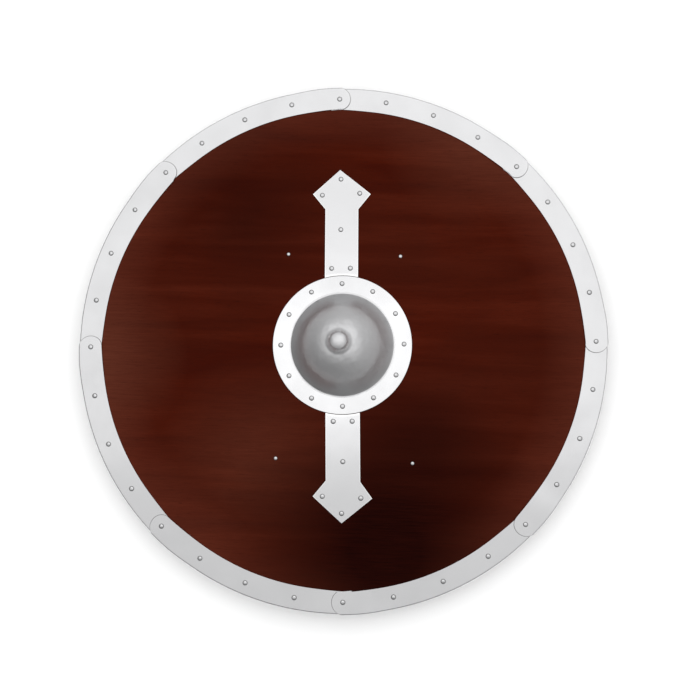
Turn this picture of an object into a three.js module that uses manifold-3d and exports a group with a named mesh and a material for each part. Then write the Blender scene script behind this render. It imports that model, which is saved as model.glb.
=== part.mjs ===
// A round wooden shield with a steel rim, boss and straps, lying on its back.
//
// The board is a flat disc. Eight steel segments are folded round its edge and riveted through
// it, each lapping over the next, and make the rim. A boss of sheet steel sits in the middle of
// the front, with an arrow-ended steel strap above it and another below. Two leather arm straps
// loop across the back, and the shield rests on them.
// Millimetres. +Z points out of the front, +Y to the top of the shield.

import * as THREE from 'three';
import { mergeVertices } from 'three/addons/utils/BufferGeometryUtils.js';
import Module from 'manifold-3d';

const wasm = await Module();
wasm.setup();

// Driving dimensions

const SHIELD_DIAMETER = 760; // over the laps of the rim
const BOARD_THICKNESS = 12;
const LOOP_DEPTH = 32; // from the back of the board down to the lowest face of the arm straps
const SHEET = 0.9; // steel of the rim
const GAP = 0.3; // left between pieces that touch

const SEGMENTS = 8;
const RIM_RIVET_ANGLES = [10.7, 22.1, 33.6, 44.85]; // degrees from the start of a segment
const RIM_INNER_RADIUS = 345; // edge of the front flange, halfway along a segment
const RIM_FLARE = 1.8; // how much farther out that edge lies at a lap
const FLARE_REACH = 8; // degrees from the lap over which it gets there
// The flange of each segment is cut by hand: how much farther out its edge lies at its two ends.
const RIM_HAND_CUT = [
  [-0.2, 1],
  [0.4, 0.6],
  [1, -0.6],
  [0.8, 1.8],
  [0.5, -0.3],
  [-0.1, -0.4],
  [0.1, -1.6],
  [0, 0.5],
];
const RIM_BACK_RADIUS = 352; // edge of the back flange
const RIM_RIVET_RADIUS = 362;
const FOLD = 1.2; // chamfer that stands for the bend in the sheet
const LAP_UNDER = 2.2; // degrees a segment reaches back beneath the end of the one before it
const LAP_OVER = 3; // degrees its other end runs past the lap's angle before it is rounded
const LAP_RISE = { from: 11.25, to: 3 }; // degrees short of the lap over which it climbs onto it
const LAP_END = { radius: 16.6, out: 0.8, back: 1.2 }; // rounded end, from the lap's own angle

const BOSS = {
  centre: [1.5, -0.6], // a little off the middle of the board
  sheet: 1.5,
  flangeRadius: 99.8,
  rivetRadius: 88.3,
  rivets: 12,
  wallRadius: 73, // where the raised middle meets the flange
  filletRadius: 3,
  wallSlope: 52, // degrees
  capRadius: 58, // where the straight wall turns into the spherical cap
  flareRadius: 20, // where the cap starts to sweep up to the button in the middle
  flareSlope: 72,
  buttonRadius: 12,
  buttonEdge: 2.5, // radius to which the button's edge is rounded
  buttonSlope: 24, // of its low domed top, at that edge
  lean: -3.6, // how far the button sits to one side, as the boss is raised by hand
  sides: 30,
};

// Each steel strap is drawn pointing up, away from the boss. They are cut and drilled by hand, so
// the middle of a strap wanders along its length, and its shoulders and rivets sit askew.
const STRAP = { sheet: 1.2, neck: 58.5, wing: 36, wingHalfSpan: 42, endGap: 0.6 };
const STRAPS = [
  {
    name: 'steel_strap_upper',
    turn: 0,
    reach: 255.6,
    halfWidth: 23.9,
    middle: { foot: 0.6, neck: 1.6, wing: 1.7, tip: -0.5 },
    askew: -0.01, // rise of the shoulders for each millimetre to the right
    rivets: { shank: 0, head: 0.5, askew: 0.038 },
  },
  {
    name: 'steel_strap_lower',
    turn: 180,
    reach: 253.2,
    halfWidth: 24.4,
    middle: { foot: -1.6, neck: -1.7, wing: -0.8, tip: 0.5 },
    askew: -0.04,
    rivets: { shank: -1.6, head: 0.4, askew: -0.05 },
  },
];
const STRAP_RIVETS = {
  end: 110.2, // the pair beside the boss, from the middle of the shield
  endHalfSpan: 13.5,
  middle: 167.1,
  wing: 36.2, // from the tip back to the pair in the wings
  wingHalfSpan: 27.2,
  tip: 13.7,
};

// The arm straps hang from a rivet at each end, whose heads show in the bare wood of the front.
const LEATHER = 3.5;
const TAB = 17; // from an end rivet out to the rounded end of its strap
const HELD_FLAT = 13; // from an end rivet in to where its strap leaves the board
const ARM_STRAPS = [
  { name: 'hand_strap', left: [-76, 132], right: [86, 127], width: 40, flatLength: 46 },
  { name: 'forearm_strap', left: [-94, -162], right: [100, -170], width: 50, flatLength: 64 },
];

const SHANK_RADIUS = 1.9;
const HOLE_RADIUS = 2.4;
const STEEL_RIVET = { headRadius: 3.7, headHeight: 1.7, tailRadius: 3.2, tailHeight: 1 };
const ARM_RIVET = { headRadius: 2.8, headHeight: 1.3, tailRadius: 5, tailHeight: 1.2 };
const HEAD_SHOULDER = { radius: 0.72, height: 0.68 }; // share of a head's size where its dome turns
const RIVET_SIDES = 6;

const PLAIN_BACK_RADIUS = 75; // middle of the board's back, clear of every rivet

const FINISHES = {
  wood: { color: 0x46150d, roughness: 0.3, metalness: 0 },
  steel: { color: 0xdadcdd, roughness: 0.25, metalness: 1 },
  leather: { color: 0x3a2215, roughness: 0.65, metalness: 0 },
};

// Derived levels and radii

const LAP = SHEET + GAP;
const BAND_RADIUS = SHIELD_DIAMETER / 2 - LAP;
const BOARD_RADIUS = BAND_RADIUS - LAP;
const BOARD_BACK = LOOP_DEPTH;
const BOARD_FRONT = BOARD_BACK + BOARD_THICKNESS;
const BACK_SEAT = BOARD_BACK - GAP;
const FRONT_SEAT = BOARD_FRONT + GAP;
const SEGMENT_ANGLE = 360 / SEGMENTS;
const BOARD_SIDES = SEGMENTS * 8;

const radians = THREE.MathUtils.degToRad;

// Angles round the shield run clockwise from its top, seen from the front.
function around(radius, degrees) {
  const angle = radians(degrees);
  return [radius * Math.sin(angle), radius * Math.cos(angle)];
}

// Solids

function solidOf(geometry) {
  geometry.deleteAttribute('normal');
  geometry.deleteAttribute('uv');
  const merged = mergeVertices(geometry, 1e-3);
  const corners = [];
  for (let i = 0; i < merged.index.count; i += 3) {
    const [a, b, c] = merged.index.array.slice(i, i + 3);
    if (a !== b && b !== c && c !== a) corners.push(a, b, c);
  }
  const mesh = new wasm.Mesh({
    numProp: 3,
    vertProperties: merged.attributes.position.array,
    triVerts: Uint32Array.from(corners),
  });
  return new wasm.Manifold(mesh);
}

function geometryOf(solid) {
  const { vertProperties, triVerts } = solid.getMesh();
  const geometry = new THREE.BufferGeometry();
  geometry.setAttribute('position', new THREE.BufferAttribute(vertProperties, 3));
  geometry.setIndex(new THREE.BufferAttribute(triVerts, 1));
  return geometry;
}

// A solid turned about Z from a profile of [radius, height] pairs that starts and ends on the axis.
function turned(profile, sides, x = 0, y = 0) {
  const points = profile.map(([radius, height]) => new THREE.Vector2(radius, height));
  const geometry = new THREE.LatheGeometry(points, sides);
  return solidOf(geometry.rotateX(Math.PI / 2).translate(x, y, 0));
}

function plate(shape, bottom, thickness, curveSegments = 12) {
  const options = { depth: thickness, bevelEnabled: false, curveSegments };
  return new THREE.ExtrudeGeometry(shape, options).translate(0, 0, bottom);
}

// A closed solid through rings of the same number of points, all counter-clockwise when the
// sweep comes towards the eye. section gives one ring's outline flat, to fill the two ends.
function loft(rings, section) {
  const count = section.length;
  const corners = [];
  for (let i = 0; i + 1 < rings.length; i++) {
    for (let j = 0; j < count; j++) {
      const next = (j + 1) % count;
      const [a, b] = [i * count + j, i * count + next];
      const [c, d] = [a + count, b + count];
      corners.push(a, b, d, a, d, c);
    }
  }
  const outline = section.map(([x, y]) => new THREE.Vector2(x, y));
  const last = (rings.length - 1) * count;
  for (const [a, b, c] of THREE.ShapeUtils.triangulateShape(outline, [])) {
    corners.push(c, b, a, last + a, last + b, last + c);
  }
  const geometry = new THREE.BufferGeometry();
  geometry.setAttribute('position', new THREE.Float32BufferAttribute(rings.flat(2), 3));
  geometry.setIndex(corners);
  return solidOf(geometry);
}

// Rivets: a domed head on the front, a shank, and a low peened tail on the back

function rivet({ headRadius, headHeight, tailRadius, tailHeight }, top, bottom, x, y) {
  const profile = [
    [0, bottom - tailHeight],
    [tailRadius, bottom],
    [SHANK_RADIUS, bottom],
    [SHANK_RADIUS, top],
    [headRadius, top],
    [HEAD_SHOULDER.radius * headRadius, top + HEAD_SHOULDER.height * headHeight],
    [0, top + headHeight],
  ];
  return turned(profile, RIVET_SIDES, x, y);
}

function hole(x, y) {
  const through = new THREE.CylinderGeometry(HOLE_RADIUS, HOLE_RADIUS, 2 * BOARD_FRONT, RIVET_SIDES);
  return solidOf(through.rotateX(Math.PI / 2).translate(x, y, BOARD_FRONT));
}

function drilled(solid, places) {
  return places.reduce((rest, [x, y]) => rest.subtract(hole(x, y)), solid);
}

// Rim

function rimSection(angle, [atStart, atEnd]) {
  const { from, to } = LAP_RISE;
  const lift = LAP * THREE.MathUtils.smoothstep(angle, SEGMENT_ANGLE - from, SEGMENT_ANGLE - to);
  const toLap = Math.min(Math.abs(angle), Math.abs(SEGMENT_ANGLE - angle));
  const handCut = THREE.MathUtils.lerp(atStart, atEnd, angle / SEGMENT_ANGLE);
  const flare = RIM_FLARE * Math.max(0, 1 - toLap / FLARE_REACH) ** 2;
  const inner = RIM_INNER_RADIUS + handCut + flare;
  const outer = BAND_RADIUS + lift;
  const top = FRONT_SEAT + SHEET + lift;
  const bottom = BACK_SEAT - SHEET - lift;
  return [
    [RIM_BACK_RADIUS, bottom],
    [outer, bottom],
    [outer, top - FOLD],
    [outer - FOLD, top],
    [inner, top],
    [inner, top - SHEET],
    [outer - SHEET, top - SHEET],
    [outer - SHEET, bottom + SHEET],
    [RIM_BACK_RADIUS, bottom + SHEET],
  ];
}

// What is cut from the far end of a segment, to leave it rounded: all that lies past the lap's
// angle, less a disc.
function lapEndCutter(degrees) {
  const { radius, out, back } = LAP_END;
  const reach = 2 * radius;
  const shape = new THREE.Shape();
  shape.moveTo(-back, out - reach);
  shape.lineTo(reach, out - reach);
  shape.lineTo(reach, out + reach);
  shape.lineTo(-back, out + reach);
  shape.lineTo(-back, out + radius);
  shape.absarc(-back, out, radius, Math.PI / 2, -Math.PI / 2, true);
  const [x, y] = around(RIM_RIVET_RADIUS, degrees);
  const geometry = plate(shape, 0, 2 * BOARD_FRONT, 8);
  return solidOf(geometry.rotateZ(-radians(degrees)).translate(x, y, 0));
}

function rimSegment(number) {
  const start = number * SEGMENT_ANGLE;
  const step = 360 / BOARD_SIDES;
  const stations = [-LAP_UNDER, 0, step / 2];
  for (let angle = step; angle < SEGMENT_ANGLE; angle += step) stations.push(angle);
  stations.push(SEGMENT_ANGLE - step / 2, SEGMENT_ANGLE, SEGMENT_ANGLE + LAP_OVER);
  stations.sort((a, b) => a - b);

  const handCut = RIM_HAND_CUT[number];
  const rings = stations.map((angle) =>
    rimSection(angle, handCut).map(([radius, z]) => [...around(radius, start + angle), z]),
  );
  const blank = loft(rings, rimSection(0, handCut)).subtract(lapEndCutter(start + SEGMENT_ANGLE));
  const lapRivet = RIM_RIVET_ANGLES.at(-1);
  const holed = drilled(blank, [around(RIM_RIVET_RADIUS, start + lapRivet - SEGMENT_ANGLE)]);
  return RIM_RIVET_ANGLES.reduce((segment, angle) => {
    const lift = angle === lapRivet ? LAP : 0;
    const [x, y] = around(RIM_RIVET_RADIUS, start + angle);
    const top = FRONT_SEAT + SHEET + lift;
    const bottom = BACK_SEAT - SHEET - lift;
    return segment.add(rivet(STEEL_RIVET, top, bottom, x, y));
  }, holed);
}

// Boss

// The outer side of the boss from its edge to the middle, as [radius, height, heading]. The
// heading is the climb towards the axis in degrees.
function bossOutline() {
  const { sheet, flangeRadius, wallRadius, filletRadius, wallSlope } = BOSS;
  const { capRadius, flareRadius, flareSlope, buttonRadius, buttonEdge, buttonSlope } = BOSS;
  const outline = [[flangeRadius, sheet, 0]];

  const straightTo = (radius, slope) => {
    const [fromRadius, height] = outline.at(-1);
    outline.push([radius, height + (fromRadius - radius) * Math.tan(radians(slope)), slope]);
  };
  const arcTo = (bend, slope, steps) => {
    const [fromRadius, fromHeight, fromSlope] = outline.at(-1);
    const turn = Math.sign(slope - fromSlope);
    for (let i = 1; i <= steps; i++) {
      const heading = THREE.MathUtils.lerp(fromSlope, slope, i / steps);
      const inward = turn * bend * (Math.sin(radians(heading)) - Math.sin(radians(fromSlope)));
      const up = turn * bend * (Math.cos(radians(fromSlope)) - Math.cos(radians(heading)));
      outline.push([fromRadius - inward, fromHeight + up, heading]);
    }
  };

  const capBend = capRadius / Math.sin(radians(wallSlope));
  const capSlope = THREE.MathUtils.radToDeg(Math.asin(flareRadius / capBend));
  const flareTurn = Math.sin(radians(flareSlope)) - Math.sin(radians(capSlope));
  const flareBend = (flareRadius - buttonRadius) / flareTurn;
  straightTo(wallRadius + filletRadius * Math.tan(radians(wallSlope / 2)), 0);
  arcTo(filletRadius, wallSlope, 2);
  straightTo(capRadius, wallSlope);
  arcTo(capBend, capSlope, 4);
  arcTo(flareBend, flareSlope, 2);
  arcTo(buttonEdge, buttonSlope, 2);
  arcTo(outline.at(-1)[0] / Math.sin(radians(buttonSlope)), 0, 2);
  return outline;
}

function boss() {
  const outer = bossOutline();
  const inner = outer.map(([radius, height, heading]) => [
    radius - BOSS.sheet * Math.sin(radians(heading)),
    height - BOSS.sheet * Math.cos(radians(heading)),
  ]);
  inner[0][0] = BOSS.flangeRadius;
  const profile = [...inner.reverse(), ...outer].map(([radius, height]) => [
    Math.max(0, radius),
    FRONT_SEAT + height,
  ]);
  profile[0][0] = 0;
  profile.at(-1)[0] = 0;
  const height = profile.at(-1)[1] - FRONT_SEAT;
  const leaning = turned(profile, BOSS.sides).warp((point) => {
    point[0] += (BOSS.lean * Math.max(0, point[2] - FRONT_SEAT - BOSS.sheet)) / height;
  });
  return drilled(leaning.translate(...BOSS.centre, 0), bossRivetPlaces());
}

function bossRivetPlaces() {
  const [centreX, centreY] = BOSS.centre;
  const numbers = [...Array(BOSS.rivets).keys()];
  return numbers.map((number) => {
    const [x, y] = around(BOSS.rivetRadius, (number * 360) / BOSS.rivets);
    return [centreX + x, centreY + y];
  });
}

// Steel straps

function steelStrap(strap) {
  const { reach, halfWidth, middle, askew } = strap;
  const { neck, wing, wingHalfSpan, endGap } = STRAP;
  const turn = radians(strap.turn);
  const bossCentre = new THREE.Vector2(...BOSS.centre).rotateAround(new THREE.Vector2(), -turn);
  const endRadius = BOSS.flangeRadius + endGap;
  const endAngle = (x) => Math.acos((x - bossCentre.x) / endRadius);
  const left = endAngle(middle.foot - halfWidth);
  const right = endAngle(middle.foot + halfWidth);

  const shape = new THREE.Shape();
  const lineTo = (centre, across, y) => shape.lineTo(centre + across, y + askew * across);
  shape.absarc(bossCentre.x, bossCentre.y, endRadius, left, right, true);
  lineTo(middle.neck, halfWidth, reach - neck);
  lineTo(middle.wing, wingHalfSpan, reach - wing);
  lineTo(middle.tip, 0, reach);
  lineTo(middle.wing, -wingHalfSpan, reach - wing);
  lineTo(middle.neck, -halfWidth, reach - neck);
  const solid = solidOf(plate(shape, FRONT_SEAT, STRAP.sheet, 6).rotateZ(turn));
  return drilled(solid, strapRivetPlaces(strap));
}

function strapRivetPlaces({ turn, reach, rivets }) {
  const { end, endHalfSpan, middle, wing, wingHalfSpan, tip } = STRAP_RIVETS;
  const places = [
    [rivets.shank, -endHalfSpan, end],
    [rivets.shank, endHalfSpan, end],
    [rivets.shank, 0, middle],
    [rivets.head, -wingHalfSpan, reach - wing],
    [rivets.head, wingHalfSpan, reach - wing],
    [rivets.head, 0, reach - tip],
  ];
  return places.map(([centre, across, y]) => {
    const slant = y > middle ? rivets.askew * across : 0;
    const point = new THREE.Vector2(centre + across, y + slant);
    return point.rotateAround(new THREE.Vector2(), radians(turn)).toArray();
  });
}

// Arm straps

function armStrapFrame({ left, right }) {
  const from = new THREE.Vector2(...left);
  const to = new THREE.Vector2(...right);
  const middle = from.clone().add(to).divideScalar(2);
  return { middle, span: from.distanceTo(to), angle: to.sub(from).angle() };
}

// The middle line of a strap seen from its edge: flat under each rivet, down in a smooth curve
// and flat again where the shield rests on it.
function armStrapLine(span, flatLength) {
  const seat = BACK_SEAT - LEATHER / 2;
  const drop = seat - LEATHER / 2;
  const curveStart = span / 2 - HELD_FLAT;
  const curveEnd = flatLength / 2;
  const steps = 6;
  const half = [[span / 2 + TAB, seat, 0]];
  for (let i = 0; i <= steps; i++) {
    const part = i / steps;
    const x = THREE.MathUtils.lerp(curveStart, curveEnd, part);
    const slope = (-6 * part * (1 - part) * drop) / (curveEnd - curveStart);
    half.push([x, seat - drop * THREE.MathUtils.smoothstep(part, 0, 1), slope]);
  }
  const otherHalf = half.map(([x, z, slope]) => [-x, z, -slope]);
  return [...otherHalf, ...half.reverse()];
}

function armStrap(strap) {
  const { middle, span, angle } = armStrapFrame(strap);
  const line = armStrapLine(span, strap.flatLength);
  const side = (offset) =>
    line.map(([x, z, slope]) => {
      const length = Math.hypot(1, slope);
      return new THREE.Vector2(x - (offset * slope) / length, z + offset / length);
    });
  const edge = new THREE.Shape([...side(-LEATHER / 2), ...side(LEATHER / 2).reverse()]);
  const ribbon = plate(edge, -strap.width, 2 * strap.width).rotateX(Math.PI / 2);

  const plan = new THREE.Shape();
  const endCentre = span / 2 + TAB - strap.width / 2;
  plan.absarc(endCentre, 0, strap.width / 2, -Math.PI / 2, Math.PI / 2);
  plan.absarc(-endCentre, 0, strap.width / 2, Math.PI / 2, 1.5 * Math.PI);
  const blank = plate(plan, -LOOP_DEPTH, 3 * LOOP_DEPTH, 6);

  const placed = (geometry) => solidOf(geometry.rotateZ(angle).translate(middle.x, middle.y, 0));
  return drilled(placed(ribbon).intersect(placed(blank)), [strap.left, strap.right]);
}

// Board

// The middle is put back as a solid of its own, so that the back keeps one plain face there.
function board(places) {
  const disc = (radius, sides) =>
    turned([[0, BOARD_BACK], [radius, BOARD_BACK], [radius, BOARD_FRONT], [0, BOARD_FRONT]], sides);
  const middle = disc(PLAIN_BACK_RADIUS, 3);
  return drilled(disc(BOARD_RADIUS, BOARD_SIDES).subtract(middle).add(middle), places);
}

// Assembly

const shield = new THREE.Group();

function add(name, solid, finish) {
  const mesh = new THREE.Mesh(geometryOf(solid), new THREE.MeshStandardMaterial(finish));
  mesh.name = name;
  shield.add(mesh);
}

function addRivets(name, places, kind, top, bottom) {
  places.forEach(([x, y], index) => {
    add(`${name}_${index + 1}`, rivet(kind, top, bottom, x, y), FINISHES.steel);
  });
}

const segmentNumbers = [...Array(SEGMENTS).keys()];
const rimHoles = segmentNumbers.flatMap((number) =>
  RIM_RIVET_ANGLES.map((angle) => around(RIM_RIVET_RADIUS, number * SEGMENT_ANGLE + angle)),
);
const armStrapHoles = ARM_STRAPS.flatMap(({ left, right }) => [left, right]);
const steelStrapHoles = STRAPS.flatMap(strapRivetPlaces);
const boardHoles = [...rimHoles, ...bossRivetPlaces(), ...steelStrapHoles, ...armStrapHoles];

add('board', board(boardHoles), FINISHES.wood);
for (const number of segmentNumbers) {
  add(`rim_segment_${number + 1}`, rimSegment(number), FINISHES.steel);
}
add('boss', boss(), FINISHES.steel);
addRivets('boss_rivet', bossRivetPlaces(), STEEL_RIVET, FRONT_SEAT + BOSS.sheet + GAP, BACK_SEAT);
for (const strap of STRAPS) {
  const headSeat = FRONT_SEAT + STRAP.sheet + GAP;
  add(strap.name, steelStrap(strap), FINISHES.steel);
  addRivets(`${strap.name}_rivet`, strapRivetPlaces(strap), STEEL_RIVET, headSeat, BACK_SEAT);
}
for (const strap of ARM_STRAPS) {
  add(strap.name, armStrap(strap), FINISHES.leather);
  const ends = [strap.left, strap.right];
  addRivets(`${strap.name}_rivet`, ends, ARM_RIVET, FRONT_SEAT, BACK_SEAT - LEATHER - GAP);
}

export default shield;
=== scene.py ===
"""The looks of a round wooden shield with a steel rim, boss and straps, lying on its back.

Everything is in metres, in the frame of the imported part: +Z points out of the front, +Y to the top
of the shield, +X to the right seen from the front, and the floor is at zero. Each piece is built
where its CAD node is, and stands for it.
"""

import math
import random

import bpy
from mathutils import Matrix, Vector, noise


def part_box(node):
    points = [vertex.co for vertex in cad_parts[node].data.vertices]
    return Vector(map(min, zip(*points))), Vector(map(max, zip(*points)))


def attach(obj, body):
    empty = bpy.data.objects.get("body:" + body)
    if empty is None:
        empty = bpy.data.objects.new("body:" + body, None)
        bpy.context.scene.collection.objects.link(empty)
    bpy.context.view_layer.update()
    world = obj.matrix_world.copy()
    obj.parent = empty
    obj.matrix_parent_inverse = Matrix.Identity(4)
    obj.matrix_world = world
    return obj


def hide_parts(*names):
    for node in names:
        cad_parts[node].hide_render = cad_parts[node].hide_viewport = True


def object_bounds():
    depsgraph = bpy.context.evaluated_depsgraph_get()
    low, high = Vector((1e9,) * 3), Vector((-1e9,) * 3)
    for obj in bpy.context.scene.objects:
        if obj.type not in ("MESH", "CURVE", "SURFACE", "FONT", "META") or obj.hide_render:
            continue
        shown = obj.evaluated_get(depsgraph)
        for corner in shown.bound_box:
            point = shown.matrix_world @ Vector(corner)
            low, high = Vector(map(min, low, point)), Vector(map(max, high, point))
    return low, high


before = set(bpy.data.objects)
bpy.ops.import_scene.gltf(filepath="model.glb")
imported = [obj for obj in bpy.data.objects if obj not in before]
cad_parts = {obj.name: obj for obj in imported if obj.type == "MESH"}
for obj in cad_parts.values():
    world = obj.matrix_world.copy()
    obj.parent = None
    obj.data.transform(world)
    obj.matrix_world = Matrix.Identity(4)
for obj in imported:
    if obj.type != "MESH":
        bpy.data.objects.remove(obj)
cad_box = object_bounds()

MM = 0.001

# Levels and sizes of the board, from the frame

board_low, board_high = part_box("board")
BOARD_BACK = board_low.z
BOARD_FRONT = board_high.z
BOARD_RADIUS = board_high.y

# Sizes of the sheet steel

RIM_SHEET = 0.9 * MM
BOSS_SHEET = 1.5 * MM
STRAP_SHEET = 1.2 * MM
GAP = 0.3 * MM
LAP = RIM_SHEET + GAP
BACK_SEAT = BOARD_BACK - GAP
FRONT_SEAT = BOARD_FRONT + GAP
CUT_EDGE = 0.4 * MM  # how far a cut edge of the sheet is worn round

# The rim: eight segments, each lapping over the next one clockwise. Angles are in degrees from the
# start of a segment, and clockwise seen from the front.

SEGMENTS = 8
SEGMENT_ANGLE = 360 / SEGMENTS
RIM_RIVET_ANGLES = [10.7, 22.1, 33.6, 44.85]  # the last one holds the lap
BAND_RADIUS = cad_box[1][0] - LAP  # outer side of a segment, away from its laps
RIM_INNER_RADIUS = 345 * MM  # edge of the front flange, halfway along a segment
RIM_FLARE = 1.8 * MM  # how much farther out that edge lies at a lap
FLARE_REACH = 8  # degrees from the lap over which it gets there
# The flange of each segment is cut by hand: how much farther out its edge lies at its two ends.
RIM_HAND_CUT = [
    (-0.2 * MM, 1 * MM),
    (0.4 * MM, 0.6 * MM),
    (1 * MM, -0.6 * MM),
    (0.8 * MM, 1.8 * MM),
    (0.5 * MM, -0.3 * MM),
    (-0.1 * MM, -0.4 * MM),
    (0.1 * MM, -1.6 * MM),
    (0, 0.5 * MM),
]
RIM_BACK_RADIUS = 352 * MM  # edge of the back flange
RIM_RIVET_RADIUS = 362 * MM
RIM_BEND = 2 * MM  # outer radius of the fold in the sheet
LAP_UNDER = 2.2  # degrees a segment reaches back beneath the end of the one before it
LAP_RISE_FROM = 11.25  # degrees short of the lap where it starts to climb onto the next one
LAP_RISE_TO = 3
LAP_END_RADIUS = 16.6 * MM  # of its rounded end, whose centre lies out and back from the lap
LAP_END_OUT = 0.8 * MM
LAP_END_BACK = 1.2 * MM

# The boss: a flat flange, a fillet, a straight wall, a spherical cap, and a flare up to the button

BOSS_CENTRE = Vector((1.5 * MM, -0.6 * MM, 0))
BOSS_FLANGE_RADIUS = 99.8 * MM
BOSS_WALL_RADIUS = 73 * MM
BOSS_FILLET = 3 * MM
BOSS_WALL_SLOPE = math.radians(52)
BOSS_CAP_RADIUS = 58 * MM
BOSS_FLARE_RADIUS = 20 * MM
BOSS_FLARE_SLOPE = math.radians(72)
BOSS_BUTTON_RADIUS = 12 * MM
BOSS_BUTTON_EDGE = 2.5 * MM
BOSS_BUTTON_SLOPE = math.radians(24)
BOSS_LEAN = -3.6 * MM  # how far the button sits to one side, as the boss is raised by hand

# The two steel straps, measured back from their tips

STRAP_NECK = 58.5 * MM
STRAP_WING = 36 * MM
STRAP_WING_HALF_SPAN = 42 * MM
STRAP_END_GAP = 0.6 * MM
STRAP_PAINTED_HIGHLIGHT = 0.9 * MM  # width of the painted highlight along the cut edges
STRAP_WORN_EDGE = 0.25 * MM
# A strap's middle wanders along its length: foot, neck, wing and tip, with the strap drawn upright.
STEEL_STRAPS = [
    {"name": "steel_strap_upper", "turn": 0, "reach": 255.6 * MM, "half_width": 23.9 * MM,
     "middle": (0.6 * MM, 1.6 * MM, 1.7 * MM, -0.5 * MM), "askew": -0.01},
    {"name": "steel_strap_lower", "turn": 180, "reach": 253.2 * MM, "half_width": 24.4 * MM,
     "middle": (-1.6 * MM, -1.7 * MM, -0.8 * MM, 0.5 * MM), "askew": -0.04},
]

# The two arm straps behind the board

LEATHER = 3.5 * MM
TAB = 17 * MM  # from an end rivet out to the rounded end of its strap
HELD_FLAT = 13 * MM  # from an end rivet in to where its strap leaves the board
LEATHER_ROUNDING = 1.4 * MM  # how far in from the edges the leather is worn round
LEATHER_BURNISH = 2 * MM  # how far in its edges are burnished dark
ARM_STRAPS = [
    {"name": "hand_strap", "width": 40 * MM, "flat_length": 46 * MM},
    {"name": "forearm_strap", "width": 50 * MM, "flat_length": 64 * MM},
]

# Rivets: radius and height of the head, then of the tail

SHANK_RADIUS = 1.9 * MM
STEEL_RIVET = {"head": 3.7 * MM, "rise": 1.7 * MM, "tail": 3.2 * MM, "drop": 1 * MM}
ARM_RIVET = {"head": 2.8 * MM, "rise": 1.3 * MM, "tail": 5 * MM, "drop": 1.2 * MM}
HEAD_PAINTED_SHADE = 0.75  # how dark the foot of a head is painted: painted shade where the head meets the sheet

# How deep the dips in each surface are, and about how far across

BOARD_DIPS = (0.12 * MM, 90 * MM)
RIM_DIPS = (0.1 * MM, 22 * MM)
FLANGE_DIPS = (0.12 * MM, 30 * MM)
HAMMERED_DIPS = (0.3 * MM, 16 * MM)
CAP_DIPS = (0.3 * MM, 14 * MM)
STRAP_DIPS = (0.1 * MM, 30 * MM)
HEAD_DIPS = (0.06 * MM, 2.5 * MM)
LEATHER_DIPS = (0.12 * MM, 9 * MM)

random.seed(7)


# Small helpers


def around(radius, degrees, z=0.0):
    """A point at an angle that runs clockwise from the top of the shield, seen from the front."""
    angle = math.radians(degrees)
    return Vector((radius * math.sin(angle), radius * math.cos(angle), z))


def lerp(a, b, part):
    return a + (b - a) * part


def smoothstep(value, low, high):
    part = min(max((value - low) / (high - low), 0), 1)
    return part * part * (3 - 2 * part)


def unevenness(point, size):
    """A smooth random height between about -1 and 1, whose bumps are about size across."""
    return noise.noise(Vector(point) / size)


def dip(point, depth, size):
    """How far a surface lies beneath its true place, in dips about size across."""
    return depth * (0.5 + 0.5 * unevenness(point, size))


def spread(low, high, count):
    """count + 1 numbers evenly spaced from low to high."""
    return [lerp(low, high, i / count) for i in range(count + 1)]


# Meshes


def piece(name, vertices, faces, slot, *nodes):
    """A smooth-shaded mesh that rides on the shield and stands for the CAD nodes named."""
    mesh = bpy.data.meshes.new(name)
    mesh.from_pydata([tuple(v) for v in vertices], [], faces)
    mesh.shade_smooth()
    made = bpy.data.objects.new(name, mesh)
    bpy.context.scene.collection.objects.link(made)
    made.data.materials.append(MATERIALS[slot])
    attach(made, "root")
    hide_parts(*nodes)
    return made


def mark(made, name, values):
    """Gives each vertex of a piece a number, for its material."""
    attribute = made.data.attributes.new(name, "FLOAT", "POINT")
    attribute.data.foreach_set("value", values)


def round_edges(made, width, sharper_than=35):
    """Rounds every edge of a piece that is sharper than an angle in degrees."""
    bevel = made.modifiers.new("worn_edges", "BEVEL")
    bevel.width = width
    bevel.segments = 2
    bevel.limit_method = "ANGLE"
    bevel.angle_limit = math.radians(sharper_than)
    bevel.harden_normals = True
    return made


def skin(rings):
    """Vertices and faces of a closed solid through rings that each run once round it.

    Each ring is its outer line followed by its inner line turned back, so that the two ends are
    closed by a strip between those lines.
    """
    count = len(rings[0])
    half = count // 2
    vertices = [point for ring in rings for point in ring]
    faces = []
    for i in range(len(rings) - 1):
        for j in range(count):
            k = (j + 1) % count
            faces.append((i * count + j, i * count + k, (i + 1) * count + k, (i + 1) * count + j))
    last = (len(rings) - 1) * count
    for j in range(half - 1):
        strip = (j, count - 1 - j, count - 2 - j, j + 1)
        faces.append(strip)
        faces.append(tuple(last + k for k in reversed(strip)))
    return vertices, faces


def turned(profile, sides, centre):
    """Vertices and faces of a solid turned about a vertical axis.

    The profile is a list of (radius, height), and it starts and ends on the axis.
    """
    vertices = [centre + Vector((0, 0, profile[0][1]))]
    for radius, height in profile[1:-1]:
        for i in range(sides):
            angle = 2 * math.pi * i / sides
            offset = Vector((radius * math.cos(angle), radius * math.sin(angle), height))
            vertices.append(centre + offset)
    vertices.append(centre + Vector((0, 0, profile[-1][1])))
    last = len(vertices) - 1
    faces = []
    for i in range(sides):
        k = (i + 1) % sides
        faces.append((0, 1 + k, 1 + i))
        for ring in range(len(profile) - 3):
            low = 1 + ring * sides
            faces.append((low + i, low + k, low + sides + k, low + sides + i))
        top = last - sides
        faces.append((top + i, top + k, last))
    return vertices, faces


# Materials

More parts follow.
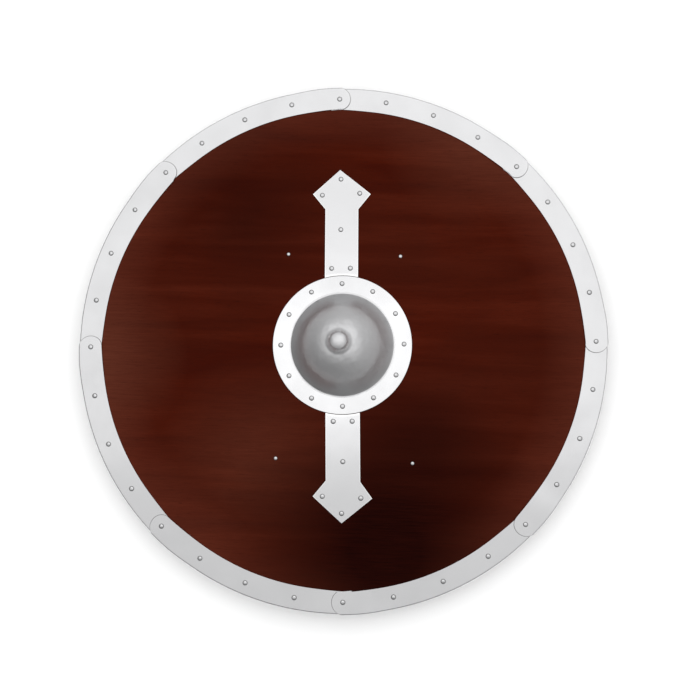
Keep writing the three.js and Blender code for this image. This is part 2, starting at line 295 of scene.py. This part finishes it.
LIGHTER_WOOD_AND_SHEEN = (0.100, 0.026, 0.014, 1)
DARKER_WOOD = (0.005, 0.0004, 0.0002, 1)
PAINTED_SHEEN_BORDER = (0.13, 0.032, 0.018, 1)
GREY_STAIN = (0.036, 0.0060, 0.0026, 1)
FIBRE_STAIN = (0.030, 0.0030, 0.0010, 1)
PORE_STAIN = (0.012, 0.0015, 0.0006, 1)
# Lighter and darker patches of the wood: the lighter ones near the left edge and the upper right are
# painted sheen, the darker ones are strongest towards the bottom. Each has its centre, the distances over
# which the patch fades out, its strength and its colour.
STAIN_PATCHES = [
    ((-0.12, -0.17, BOARD_FRONT), 0.02, 0.16, 0.45, LIGHTER_WOOD_AND_SHEEN),
    ((-0.36, -0.02, BOARD_FRONT), 0.02, 0.14, 0.80, LIGHTER_WOOD_AND_SHEEN),
    ((0.20, 0.30, BOARD_FRONT), 0.02, 0.14, 0.50, LIGHTER_WOOD_AND_SHEEN),
    ((-0.14, 0.20, BOARD_FRONT), 0.02, 0.15, 0.45, DARKER_WOOD),
    ((0.06, -0.29, BOARD_FRONT), 0.05, 0.24, 0.96, DARKER_WOOD),
    ((0.12, -0.14, BOARD_FRONT), 0.02, 0.14, 0.50, DARKER_WOOD),
]


def new_material(name):
    """A material with its shader, and a function that adds a node to it."""
    made = bpy.data.materials.new(name)
    made.use_nodes = True
    tree = made.node_tree
    shader = tree.nodes["Principled BSDF"]

    def add(kind, inputs=None, **settings):
        added = tree.nodes.new(kind)
        for key, value in settings.items():
            setattr(added, key, value)
        for key, value in (inputs or {}).items():
            if isinstance(value, bpy.types.NodeSocket):
                tree.links.new(value, added.inputs[key])
            else:
                added.inputs[key].default_value = value
        return added

    def plug(socket, name_on_shader):
        tree.links.new(socket, shader.inputs[name_on_shader])

    return made, shader, add, plug


def stretched_noise(add, place, scale, detail=4.0, roughness=0.55, distortion=0.0):
    """Noise whose bumps per metre along X, Y and Z are given by scale."""
    mapping = add("ShaderNodeMapping", {"Vector": place, "Scale": scale})
    inputs = {"Vector": mapping.outputs["Vector"], "Scale": 1.0, "Detail": detail,
              "Roughness": roughness, "Distortion": distortion}
    return add("ShaderNodeTexNoise", inputs).outputs["Fac"]


def ramp(add, value, stops):
    """A colour ramp through (position, colour) stops."""
    added = add("ShaderNodeValToRGB", {"Fac": value})
    elements = added.color_ramp.elements
    while len(elements) < len(stops):
        elements.new(1.0)
    for element, (position, colour) in zip(elements, stops):
        element.position = position
        element.color = (*colour, 1.0)
    return added.outputs["Color"]


def ranged(add, value, low, high, from_low=0.3, from_high=0.7):
    inputs = {"Value": value, "From Min": from_low, "From Max": from_high,
              "To Min": low, "To Max": high}
    return add("ShaderNodeMapRange", inputs).outputs["Result"]


def mixed(add, factor, first, second, blend="MIX"):
    added = add("ShaderNodeMix", data_type="RGBA", blend_type=blend, clamp_factor=True)
    tree = added.id_data
    for socket, value in ((added.inputs[0], factor), (added.inputs[6], first), (added.inputs[7], second)):
        if isinstance(value, bpy.types.NodeSocket):
            tree.links.new(value, socket)
        else:
            socket.default_value = value
    return added.outputs[2]


def bumped(add, plug, layers):
    """Bumps from (height, depth in metres) layers, one on top of another."""
    normal = None
    for height, depth in layers:
        inputs = {"Height": height, "Distance": depth, "Strength": 1.0}
        if normal is not None:
            inputs["Normal"] = normal
        normal = add("ShaderNodeBump", inputs).outputs["Normal"]
    plug(normal, "Normal")


def stained_wood():
    """Mahogany-stained wood, its grain running across the shield, stained unevenly by hand, with painted
    sheen lighter near its rim, and darker patches strongest towards the bottom.
    """
    made, shader, add, plug = new_material("stained_wood")
    place = add("ShaderNodeTexCoord").outputs["Object"]
    grain = add("ShaderNodeMapping", {"Vector": place, "Rotation": (0, 0, math.radians(2))})
    along = grain.outputs["Vector"]
    bands = stretched_noise(add, along, (2.2, 24, 24), detail=5, distortion=0.6)
    clouds = stretched_noise(add, place, (5, 8, 8), detail=3, distortion=0.4)
    fibres = stretched_noise(add, along, (30, 900, 900), detail=3)
    pores = stretched_noise(add, along, (70, 1600, 1600), detail=2)
    colour = ramp(add, bands, [
        (0.30, (0.033, 0.0022, 0.0004)),
        (0.50, (0.052, 0.0048, 0.0010)),
        (0.70, (0.076, 0.0095, 0.0032)),
    ])
    colour = mixed(add, ranged(add, clouds, 0.0, 0.5), colour, GREY_STAIN)
    radius = add("ShaderNodeVectorMath", {0: place}, operation="LENGTH").outputs["Value"]
    # Lighter near the rim all round: painted sheen.
    sheen_near_rim = ranged(add, radius, 0.0, 0.32, 0.29, RIM_INNER_RADIUS)
    colour = mixed(add, sheen_near_rim, colour, PAINTED_SHEEN_BORDER)
    # Lighter patches near the left edge and the upper right are painted sheen; the darker ones are
    # strongest towards the bottom.
    for centre, near, far, strength, stain in STAIN_PATCHES:
        away = add("ShaderNodeVectorMath", {0: place, 1: centre}, operation="DISTANCE")
        faded = ranged(add, away.outputs["Value"], strength, 0.0, near, far)
        colour = mixed(add, faded, colour, stain)
    colour = mixed(add, ranged(add, fibres, 0.0, 0.35), colour, FIBRE_STAIN)
    colour = mixed(add, ranged(add, pores, 0.0, 0.5, 0.62, 0.72), colour, PORE_STAIN)
    plug(colour, "Base Color")
    plug(ranged(add, clouds, 0.26, 0.38), "Roughness")
    shader.inputs["Specular IOR Level"].default_value = 0.015
    bumped(add, plug, [(bands, 0.05 * MM), (fibres, 0.02 * MM), (pores, 0.03 * MM)])
    return made


def steel(name, colour, roughness, dents):
    """Polished sheet steel with faint smudges, fine scratches and a slightly uneven surface.

    A piece is less smooth where it is marked as hammered, painted white where marked with painted
    highlight, and painted dark where marked with painted shade.
    """
    made, shader, add, plug = new_material(name)
    place = add("ShaderNodeTexCoord").outputs["Object"]
    hammered = add("ShaderNodeAttribute", attribute_name="hammered").outputs["Fac"]
    painted_highlight = add("ShaderNodeAttribute", attribute_name="painted_highlight").outputs["Fac"]
    painted_shade = add("ShaderNodeAttribute", attribute_name="painted_shade").outputs["Fac"]
    smudges = stretched_noise(add, place, (16, 16, 16), detail=4)
    scratches = stretched_noise(add, place, (60, 1500, 1500), detail=2, distortion=1.5)
    cross = stretched_noise(add, place, (1300, 90, 1300), detail=2, distortion=1.5)
    waves = stretched_noise(add, place, (22, 22, 22), detail=1)
    darker = tuple(0.93 * c for c in colour)
    smudged = mixed(add, ranged(add, smudges, 0.0, 1.0), (*colour, 1), (*darker, 1))
    # Painted highlight: white where a piece is marked so.
    with_painted_highlight = mixed(add, painted_highlight, smudged, (1, 1, 1, 1))
    # Painted shade: dark where a piece is marked so.
    plug(mixed(add, painted_shade, with_painted_highlight, (0.09, 0.085, 0.08, 1)), "Base Color")
    smooth = ranged(add, smudges, 0.8 * roughness, 1.25 * roughness)
    rougher = add("ShaderNodeMath", {0: hammered, 1: 0.24, 2: smooth}, operation="MULTIPLY_ADD")
    plug(rougher.outputs["Value"], "Roughness")
    shader.inputs["Metallic"].default_value = 1.0
    blows = stretched_noise(add, place, (45, 45, 45), detail=2)
    struck = add("ShaderNodeMath", {0: blows, 1: hammered}, operation="MULTIPLY").outputs["Value"]
    bumped(add, plug, [
        (struck, 1.2 * MM),
        (waves, dents),
        (scratches, 0.002 * MM),
        (cross, 0.002 * MM),
    ])
    return made


def strap_leather():
    """Dark vegetable-tanned leather with a pebbled grain and burnished edges."""
    made, shader, add, plug = new_material("strap_leather")
    place = add("ShaderNodeTexCoord").outputs["Object"]
    edge = add("ShaderNodeAttribute", attribute_name="edge").outputs["Fac"]
    tone = stretched_noise(add, place, (35, 35, 35), detail=5)
    creases = stretched_noise(add, place, (160, 60, 160), detail=4, distortion=1.2)
    pebbles = add("ShaderNodeTexVoronoi", {"Vector": place, "Scale": 800.0}).outputs["Distance"]
    face = ramp(add, tone, [(0.30, (0.030, 0.012, 0.006)), (0.70, (0.072, 0.030, 0.014))])
    plug(mixed(add, edge, face, (0.014, 0.006, 0.004, 1)), "Base Color")
    plug(ranged(add, tone, 0.42, 0.60), "Roughness")
    bumped(add, plug, [(creases, 0.25 * MM), (pebbles, 0.10 * MM)])
    return made


def pale_floor():
    """Matt paper, very slightly clouded."""
    made, shader, add, plug = new_material("pale_floor")
    place = add("ShaderNodeTexCoord").outputs["Object"]
    cloud = stretched_noise(add, place, (3, 3, 3), detail=2)
    plug(ramp(add, cloud, [(0.3, (0.94, 0.94, 0.94)), (0.7, (0.95, 0.95, 0.95))]), "Base Color")
    shader.inputs["Roughness"].default_value = 0.9
    shader.inputs["Specular IOR Level"].default_value = 0.0
    return made


MATERIALS = {
    "stained_wood": stained_wood(),
    "polished_steel": steel("polished_steel", (0.83, 0.83, 0.84), 0.17, 0.03 * MM),
    "rivet_steel": steel("rivet_steel", (0.76, 0.76, 0.77), 0.16, 0.01 * MM),
    "strap_leather": strap_leather(),
}


# Board


def build_board():
    """A flat disc, hand-planed, so that its two faces are very slightly uneven."""
    sides = 180
    edge = 1 * MM
    radii = spread(0, BOARD_RADIUS - edge, 44)
    profile = [(radius, BOARD_BACK) for radius in radii]
    profile += [(BOARD_RADIUS, BOARD_BACK + edge), (BOARD_RADIUS, BOARD_FRONT - edge)]
    profile += [(radius, BOARD_FRONT) for radius in reversed(radii)]
    vertices, faces = turned(profile, sides, Vector())
    for vertex in vertices:
        depth = dip(vertex, *BOARD_DIPS)
        vertex.z += depth if vertex.z < (BOARD_BACK + BOARD_FRONT) / 2 else -depth
    piece("board_fine", vertices, faces, "stained_wood", "board")


# Rivets


def rivet_profile(kind, top, bottom):
    """A domed head at the top, a shank, and a low peened tail at the bottom."""
    head, rise = kind["head"], kind["rise"]
    tail, drop = kind["tail"], kind["drop"]
    quarter = spread(0, math.pi / 2, 7)
    lip = 0.2 * MM
    profile = [(tail * math.sin(a), bottom - drop * math.cos(a)) for a in quarter]
    profile += [(SHANK_RADIUS, bottom), (SHANK_RADIUS, top), (head - lip, top), (head, top + lip)]
    profile += [(head * math.cos(a), top + lip + (rise - lip) * math.sin(a)) for a in quarter[1:]]
    profile[0] = (0, bottom - drop)
    profile[-1] = (0, top + rise)
    return profile


def rivet(name, kind, x, y, top, bottom, node):
    """One rivet, hammered a little differently from the next."""
    grow = random.uniform(0.94, 1.0)
    own = {key: size * grow for key, size in kind.items()}
    vertices, faces = turned(rivet_profile(own, top, bottom), 28, Vector((x, y, 0)))
    middle = Vector((x, y, top))
    lean = Matrix.Rotation(math.radians(random.uniform(-2, 2)), 3, "X")
    lean @= Matrix.Rotation(math.radians(random.uniform(-2, 2)), 3, "Y")
    for vertex in vertices:
        if vertex.z > top:
            vertex[:] = middle + lean @ (vertex - middle)
            depth, size = HEAD_DIPS
            vertex.z += depth * unevenness(vertex, size)
    # The foot of each head is painted darker: painted shade where the head meets the sheet.
    painted_shade = []
    for vertex in vertices:
        outward = (vertex - middle).to_2d().length / own["head"]
        on_head = vertex.z > top - 0.1 * MM
        painted_shade.append(HEAD_PAINTED_SHADE * smoothstep(outward, 0.70, 0.95) if on_head else 0.0)
    mark(piece(name, vertices, faces, "rivet_steel", node), "painted_shade", painted_shade)


# Rim


def rim_height(angle):
    """How far a segment is lifted off the board, to lap over the next, degrees past its start."""
    return LAP * smoothstep(angle, SEGMENT_ANGLE - LAP_RISE_FROM, SEGMENT_ANGLE - LAP_RISE_TO)


def rim_inner_radius(angle, hand_cut):
    to_lap = min(abs(angle), abs(SEGMENT_ANGLE - angle))
    flare = RIM_FLARE * max(0, 1 - to_lap / FLARE_REACH) ** 2
    return RIM_INNER_RADIUS + flare + lerp(*hand_cut, angle / SEGMENT_ANGLE)


def rim_end_angle(radius):
    """Where the rounded far end of a segment lies, at a distance from the shield's middle."""
    across = radius - (RIM_RIVET_RADIUS + LAP_END_OUT)
    past = math.sqrt(max(0, LAP_END_RADIUS ** 2 - across ** 2)) - LAP_END_BACK
    return SEGMENT_ANGLE + math.degrees(past / radius)


def rim_ring(part, hand_cut):
    """The channel's section a part of the way from a segment's start to its far end.

    Each line along the segment ends where the rounded end lies at that line's own radius.
    """
    arc = spread(0, math.pi / 2, 5)
    across = [0.5 - 0.5 * math.cos(math.pi * step) for step in spread(0, 1, 16)]
    outer_line = []
    inner_line = []

    def point(radius_of, height_of, offset_radius, offset_height):
        near_angle = lerp(-LAP_UNDER, SEGMENT_ANGLE, part)
        angle = lerp(-LAP_UNDER, rim_end_angle(radius_of(near_angle)), part)
        radius = radius_of(angle)
        height = height_of(angle)
        outer_line.append((angle, radius, height))
        inner_line.append((angle, radius + offset_radius, height + offset_height))

    def outer(angle):
        return BAND_RADIUS + rim_height(angle)

    def top(angle):
        return FRONT_SEAT + RIM_SHEET + rim_height(angle)

    def bottom(angle):
        return BACK_SEAT - RIM_SHEET - rim_height(angle)

    for step in across[:-1]:
        point(lambda a: lerp(RIM_BACK_RADIUS, outer(a) - RIM_BEND, step), bottom, 0, RIM_SHEET)
    for turn in arc:
        sine, cosine = math.sin(turn), math.cos(turn)
        point(lambda a: outer(a) - RIM_BEND * (1 - sine),
              lambda a: bottom(a) + RIM_BEND * (1 - cosine),
              -RIM_SHEET * sine, RIM_SHEET * cosine)
    for turn in arc:
        sine, cosine = math.sin(turn), math.cos(turn)
        point(lambda a: outer(a) - RIM_BEND * (1 - cosine),
              lambda a: top(a) - RIM_BEND * (1 - sine),
              -RIM_SHEET * cosine, -RIM_SHEET * sine)
    for step in across[1:]:
        point(lambda a: lerp(outer(a) - RIM_BEND, rim_inner_radius(a, hand_cut), step), top,
              0, -RIM_SHEET)
    return outer_line + inner_line[::-1]


def build_rim():
    """Eight segments with their rivets, each with painted shade along its cut end, where it laps over the
    next.
    """
    parts = spread(0, 0.7, 34) + spread(0.7, 0.94, 20)[1:] + spread(0.94, 0.9965, 12)[1:] + [1]
    for number, hand_cut in enumerate(RIM_HAND_CUT):
        rings = [rim_ring(part, hand_cut) for part in parts]
        start = number * SEGMENT_ANGLE
        node = f"rim_segment_{number + 1}"
        placed = []
        for ring in rings:
            points = []
            for angle, radius, height in ring:
                at = around(radius, start + angle, height)
                at.z -= math.copysign(dip(at, *RIM_DIPS), height - BOARD_FRONT)
                points.append(at)
            placed.append(points)
        made = piece(f"{node}_fine", *skin(placed), "polished_steel", node)
        in_ring = len(placed[0])
        # The cut end of each segment is painted dark: painted shade in the gap where it laps over the
        # next.
        mark(made, "painted_shade", [0.0] * (in_ring * (len(parts) - 1)) + [1.0] * in_ring)
        round_edges(made, CUT_EDGE)
        for i, angle in enumerate(RIM_RIVET_ANGLES, 1):
            lift = LAP if angle == RIM_RIVET_ANGLES[-1] else 0
            at = around(RIM_RIVET_RADIUS, start + angle)
            top = FRONT_SEAT + RIM_SHEET + lift
            bottom = BACK_SEAT - RIM_SHEET - lift
            name = f"rim_rivet_{number * len(RIM_RIVET_ANGLES) + i}"
            rivet(name, STEEL_RIVET, at.x, at.y, top, bottom, node)


# Boss


def boss_outline():
    """The outer side of the boss from its edge to its middle, as (radius, height, climb)."""
    outline = [(BOSS_FLANGE_RADIUS, BOSS_SHEET, 0.0)]

    def straight_to(radius, climb, steps):
        from_radius, height, _ = outline[-1]
        for way in spread(from_radius, radius, steps)[1:]:
            outline.append((way, height + (from_radius - way) * math.tan(climb), climb))

    def arc_to(bend, climb, steps):
        from_radius, from_height, from_climb = outline[-1]
        turn = math.copysign(bend, climb - from_climb)
        for heading in spread(from_climb, climb, steps)[1:]:
            inward = turn * (math.sin(heading) - math.sin(from_climb))
            up = turn * (math.cos(from_climb) - math.cos(heading))
            outline.append((from_radius - inward, from_height + up, heading))

    cap_bend = BOSS_CAP_RADIUS / math.sin(BOSS_WALL_SLOPE)
    cap_climb = math.asin(BOSS_FLARE_RADIUS / cap_bend)
    flare_turn = math.sin(BOSS_FLARE_SLOPE) - math.sin(cap_climb)
    straight_to(BOSS_WALL_RADIUS + BOSS_FILLET * math.tan(BOSS_WALL_SLOPE / 2), 0.0, 14)
    arc_to(BOSS_FILLET, BOSS_WALL_SLOPE, 5)
    straight_to(BOSS_CAP_RADIUS, BOSS_WALL_SLOPE, 8)
    arc_to(cap_bend, cap_climb, 14)
    arc_to((BOSS_FLARE_RADIUS - BOSS_BUTTON_RADIUS) / flare_turn, BOSS_FLARE_SLOPE, 8)
    arc_to(BOSS_BUTTON_EDGE, BOSS_BUTTON_SLOPE, 6)
    arc_to(outline[-1][0] / math.sin(BOSS_BUTTON_SLOPE), 0.0, 8)
    return outline


def build_boss():
    """A hollow boss, hammered over its raised middle, with its button leaning to one side."""
    outer = boss_outline()
    inner = [
        (radius - BOSS_SHEET * math.sin(climb), height - BOSS_SHEET * math.cos(climb))
        for radius, height, climb in outer
    ]
    inner[0] = (BOSS_FLANGE_RADIUS, 0.0)
    profile = [(max(radius, 0), FRONT_SEAT + height) for radius, height in reversed(inner)]
    profile += [(max(radius, 0), FRONT_SEAT + height) for radius, height, _ in outer]
    height = profile[-1][1] - FRONT_SEAT
    vertices, faces = turned(profile, 160, Vector())
    hammered = []
    for vertex in vertices:
        reach = math.hypot(vertex.x, vertex.y)
        raised = smoothstep(BOSS_WALL_RADIUS - reach, -BOSS_FILLET, BOSS_FILLET)
        depth, size = (lerp(flat, beaten, raised) for flat, beaten in zip(FLANGE_DIPS, HAMMERED_DIPS))
        shrink = dip(vertex, depth, size)
        if reach > shrink:
            vertex.x -= vertex.x / reach * shrink
            vertex.y -= vertex.y / reach * shrink
        vertex.z -= raised * dip(vertex, *CAP_DIPS)
        vertex.x += BOSS_LEAN * max(0, vertex.z - FRONT_SEAT - BOSS_SHEET) / height
        vertex += BOSS_CENTRE
        hammered.append(raised)
    made = piece("boss_fine", vertices, faces, "polished_steel", "boss")
    mark(made, "hammered", hammered)
    round_edges(made, CUT_EDGE, 60)


# Steel straps


def strap_rows(strap, boss_centre, across):
    """The strap pointing up the page, as rows of (x, y) from the boss to its tip."""
    reach, half_width, askew = strap["reach"], strap["half_width"], strap["askew"]
    foot_middle, neck_middle, wing_middle, tip_middle = strap["middle"]
    end_radius = BOSS_FLANGE_RADIUS + STRAP_END_GAP

    def level(middle, half, y):
        return [(middle + side * half, y + askew * side * half) for side in across]

    foot = []
    for side in across:
        x = foot_middle + side * half_width
        foot.append((x, boss_centre.y + math.sqrt(end_radius ** 2 - (x - boss_centre.x) ** 2)))
    neck = level(neck_middle, half_width, reach - STRAP_NECK)
    wing = level(wing_middle, STRAP_WING_HALF_SPAN, reach - STRAP_WING)
    tip = [(tip_middle, reach)] * len(across)

    rows = [foot]
    for start, end, parts in (
        (foot, neck, spread(0, 1, 24)),
        (neck, wing, spread(0, 1, 8)),
        (wing, tip, spread(0, 0.995, 14)),
    ):
        for part in parts[1:]:
            rows.append([(lerp(a, c, part), lerp(b, d, part)) for (a, b), (c, d) in zip(start, end)])
    return rows


def build_steel_strap(strap):
    """A flat strap cut by hand, with two shoulders and a point, and a painted highlight along its edges
    and its end at the boss.
    """
    turn = Matrix.Rotation(math.radians(strap["turn"]), 3, "Z")
    border = STRAP_PAINTED_HIGHLIGHT / strap["half_width"]
    right = [1 - 1.2 * border, 1 - border, 1]
    left = [-side for side in reversed(right)]
    across = left + spread(-0.9, 0.9, 14) + right
    rings = []
    painted_highlight = []
    for i, row in enumerate(strap_rows(strap, turn.inverted() @ BOSS_CENTRE, across)):
        upper = []
        lower = []
        for x, y in row:
            at = turn @ Vector((x, y, 0))
            top = FRONT_SEAT + STRAP_SHEET - dip(at, *STRAP_DIPS)
            upper.append(at + Vector((0, 0, top)))
            lower.append(at + Vector((0, 0, FRONT_SEAT)))
        rings.append(lower + upper[::-1])
        # A painted highlight along both long edges and along the end at the boss.
        bright = [1.0 if abs(side) > 1 - 1.1 * border or i == 0 else 0.0 for side in across]
        painted_highlight += bright + bright
    name = strap["name"]
    made = piece(f"{name}_fine", *skin(rings), "polished_steel", name)
    mark(made, "painted_highlight", painted_highlight)
    round_edges(made, STRAP_WORN_EDGE)


# Rivets that are nodes of their own


def build_rivets():
    families = [("boss_rivet", 12, STEEL_RIVET, BOSS_SHEET)]
    families += [(f"{strap['name']}_rivet", 6, STEEL_RIVET, STRAP_SHEET) for strap in STEEL_STRAPS]
    families += [(f"{strap['name']}_rivet", 2, ARM_RIVET, -GAP) for strap in ARM_STRAPS]
    for family, count, kind, seat in families:
        through = LEATHER if kind is ARM_RIVET else 0
        for number in range(1, count + 1):
            node = f"{family}_{number}"
            low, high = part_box(node)
            middle = (low + high) / 2
            rivet(f"{node}_fine", kind, middle.x, middle.y, FRONT_SEAT + seat, BACK_SEAT - through, node)


# Arm straps


def arm_strap_line(span, flat_length):
    """Points (x, z) along the middle of a strap's thickness, from one rounded end to the other."""
    seat = BACK_SEAT - LEATHER / 2
    drop = seat - LEATHER / 2
    half_span = span / 2
    curve_start = half_span - HELD_FLAT
    curve_end = flat_length / 2
    line = []
    for x in spread(-half_span - TAB, half_span + TAB, 160):
        z = seat - drop * (1 - smoothstep(abs(x), curve_end, curve_start))
        line.append((x, z))
    return line


def build_arm_strap(strap):
    """A leather strap that hangs in a loop from a rivet at each end."""
    name, width = strap["name"], strap["width"]
    ends = []
    for number in (1, 2):
        low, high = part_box(f"{name}_rivet_{number}")
        ends.append(((low + high) / 2).to_2d())
    middle = (ends[0] + ends[1]) / 2
    along = (ends[1] - ends[0]).normalized()
    aside = Vector((-along.y, along.x))
    span = (ends[1] - ends[0]).length
    line = arm_strap_line(span, strap["flat_length"])
    round_centre = span / 2 + TAB - width / 2

    rings = []
    edges = []
    for i, (x, z) in enumerate(line):
        before, after = line[max(i - 1, 0)], line[min(i + 1, len(line) - 1)]
        slope = Vector((after[0] - before[0], after[1] - before[1])).normalized()
        past = max(0, abs(x) - round_centre)
        half = math.sqrt(max((width / 2) ** 2 - past ** 2, (0.6 * MM) ** 2))
        upper = []
        lower = []
        for side in spread(-1, 1, 18):
            y = half * math.sin(side * math.pi / 2)
            from_edge = half - abs(y)
            thin = 1 - 0.55 * max(0, 1 - from_edge / LEATHER_ROUNDING) ** 2
            depth, size = LEATHER_DIPS
            wrinkle = depth * unevenness((x, y, z), size)
            thick = LEATHER / 2 * thin - max(0, wrinkle)
            flat = middle + along * x + aside * y
            shift = Vector((*(along * -slope.y * thick), slope.x * thick))
            at = Vector((flat.x, flat.y, z))
            upper.append(at + shift)
            lower.append(at - shift)
            edges.append(max(0, 1 - from_edge / LEATHER_BURNISH))
        rings.append(lower + upper[::-1])
    made = piece(f"{name}_fine", *skin(rings), "strap_leather", name)
    columns = len(rings[0]) // 2
    worn = []
    for i in range(len(rings)):
        own = edges[i * columns:(i + 1) * columns]
        worn += own + own[::-1]
    mark(made, "edge", worn)


# Stage, lights and camera


def build_stage():
    """A plain floor that reaches past every view."""
    mesh = bpy.data.meshes.new("floor")
    reach = 30
    corners = [(-reach, -reach, 0), (reach, -reach, 0), (reach, reach, 0), (-reach, reach, 0)]
    mesh.from_pydata(corners, [], [(0, 1, 2, 3)])
    floor = bpy.data.objects.new("floor", mesh)
    bpy.context.scene.collection.objects.link(floor)
    floor.data.materials.append(pale_floor())


def softbox(name, centre, width, length, radiance):
    """A flat light that faces straight down, and looks as bright as radiance in a mirror."""
    light = bpy.data.lights.new(name, "AREA")
    light.shape = "RECTANGLE"
    light.size = width
    light.size_y = length
    light.energy = radiance * math.pi * width * length
    made = bpy.data.objects.new(name, light)
    made.location = centre
    made.visible_camera = False
    bpy.context.scene.collection.objects.link(made)
    return made


def build_lights():
    """Softboxes overhead, and a room that is darker towards the lower left."""
    world = bpy.data.worlds.new("studio")
    world.use_nodes = True
    nodes, links = world.node_tree.nodes, world.node_tree.links
    direction = nodes.new("ShaderNodeTexCoord")
    towards = nodes.new("ShaderNodeVectorMath")
    towards.operation = "DOT_PRODUCT"
    towards.inputs[1].default_value = (0.6, 0.8, 0)
    links.new(direction.outputs["Generated"], towards.inputs[0])
    fade = nodes.new("ShaderNodeMapRange")
    fade.inputs["From Min"].default_value = -0.9
    fade.inputs["From Max"].default_value = 0.9
    fade.inputs["To Min"].default_value = 0.20
    fade.inputs["To Max"].default_value = 0.50
    links.new(towards.outputs["Value"], fade.inputs["Value"])
    links.new(fade.outputs["Result"], nodes["Background"].inputs["Strength"])
    nodes["Background"].inputs["Color"].default_value = (1, 1, 1, 1)
    bpy.context.scene.world = world
    softbox("ceiling_softbox", (0.1, 0.5, 2.2), 3.6, 3.4, 0.40)
    softbox("upper_softbox", (0.1, 0.95, 2.1), 3.0, 2.3, 0.22)
    softbox("middle_softbox", (-0.1, 0.2, 2.0), 0.9, 0.55, 0.30)
    fill = softbox("fill", (0, 0, 3.5), 8, 8, 1.0)
    fill.visible_glossy = False


def build_camera():
    """The view is from above, a little to the right of the shield's middle and below it."""
    camera = bpy.data.cameras.new("camera")
    camera.lens = 50
    made = bpy.data.objects.new("camera", camera)
    made.location = (0.0592, -0.1492, BOARD_FRONT + 1.3845)
    made.rotation_euler = (math.radians(5.80), math.radians(1.96), math.radians(-0.26))
    bpy.context.scene.collection.objects.link(made)
    bpy.context.scene.camera = made
    bpy.context.scene.view_settings.view_transform = "Standard"


build_board()
build_rim()
build_boss()
for steel_strap in STEEL_STRAPS:
    build_steel_strap(steel_strap)
build_rivets()
for arm_strap in ARM_STRAPS:
    build_arm_strap(arm_strap)
build_stage()
build_lights()
build_camera()
